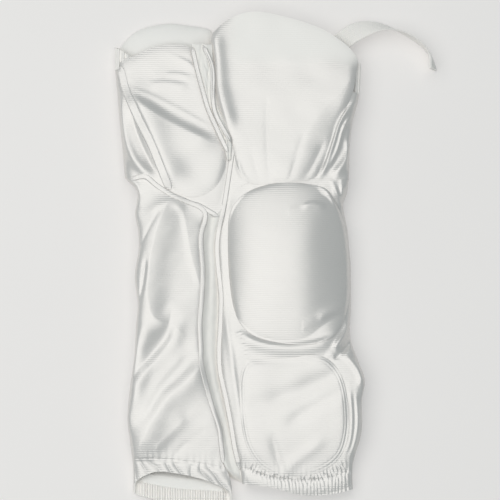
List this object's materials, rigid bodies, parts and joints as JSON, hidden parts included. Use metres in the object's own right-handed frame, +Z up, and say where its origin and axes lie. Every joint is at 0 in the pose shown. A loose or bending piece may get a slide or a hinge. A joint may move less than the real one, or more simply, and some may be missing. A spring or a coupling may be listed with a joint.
{
  "type": "padded football pants",
  "caption": "Knee-length white satin sports pants with hip, tail, thigh and knee pads, elastic waistband and cuffs and a belt strap, lying on their back.",
  "frame": {"origin": "middle of the whole object's footprint, on the surface it lies on", "axes": "+X to the viewer's right across the pants, +Y from the cuffs to the waist, +Z up from the surface"},
  "size_m": [0.4436, 0.6766, 0.0578],
  "materials": {
    "satin": "glossy",
    "matte_stretch": "matte",
    "elastic": "matte",
    "lining": "matte"
  },
  "bodies": {
    "root": {"waistband": "elastic", "seat": "satin", "leg_left": "satin", "leg_right": "satin", "cuff_left": "elastic", "cuff_right": "elastic", "gusset": "matte_stretch", "fly_placket": "matte_stretch", "hip_pad_left": "satin", "hip_pad_right": "satin", "tail_pad": "lining", "thigh_pad": "satin", "knee_pad": "satin", "belt_strap": "elastic"}
  },
  "joints": []
}
